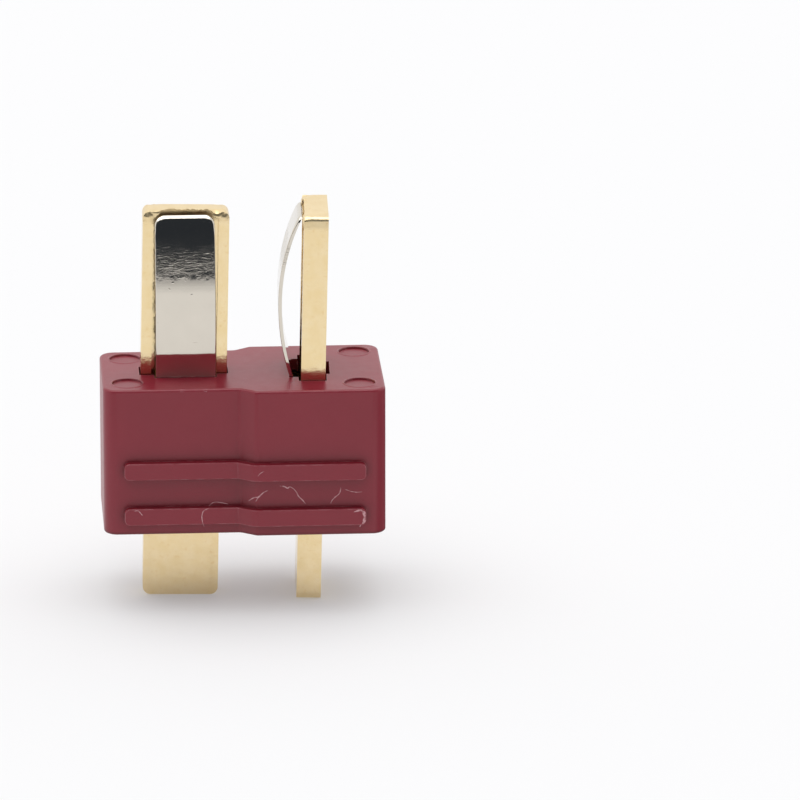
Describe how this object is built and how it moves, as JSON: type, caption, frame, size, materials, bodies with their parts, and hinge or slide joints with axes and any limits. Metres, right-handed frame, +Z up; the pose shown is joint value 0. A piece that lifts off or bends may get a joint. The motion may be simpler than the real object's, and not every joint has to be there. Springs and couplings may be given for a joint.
{
  "type": "two-blade battery plug",
  "caption": "Moulded battery plug half with two flat gold-plated blades set square to each other, a bowed leaf spring on each, and solder tabs below.",
  "frame": {"origin": "centre of the bounding box in X and Y, at the bottom corners of the solder tabs, which it stands on", "axes": "+Z up along the blades, out of the mating face; +Y back, away from the left blade's spring; +X right, from the left blade to the right one"},
  "size_m": [0.016, 0.0098, 0.0229],
  "materials": {
    "red_nylon": "moulded satin",
    "gold_plated_brass": "satin gold plate",
    "nickel_plated_spring_steel": "bright nickel plate, rubbed along its length"
  },
  "bodies": {
    "plug": {"housing": "red_nylon", "left_contact": "gold_plated_brass", "right_contact": "gold_plated_brass"},
    "left_leaf": {"left_leaf_spring": "nickel_plated_spring_steel"},
    "right_leaf": {"right_leaf_spring": "nickel_plated_spring_steel"}
  },
  "joints": [
    {"name": "left_leaf_press", "type": "slide", "parent": "plug", "child": "left_leaf", "axis": [0, 1, 0], "range_m": [0, 0.0011], "stiffness_N_per_m": 12000, "deforming": ["left_leaf_spring"]},
    {"name": "right_leaf_press", "type": "slide", "parent": "plug", "child": "right_leaf", "axis": [0.9985, -0.0489, -0.0227], "range_m": [0, 0.0011], "stiffness_N_per_m": 12000, "deforming": ["right_leaf_spring"]}
  ]
}
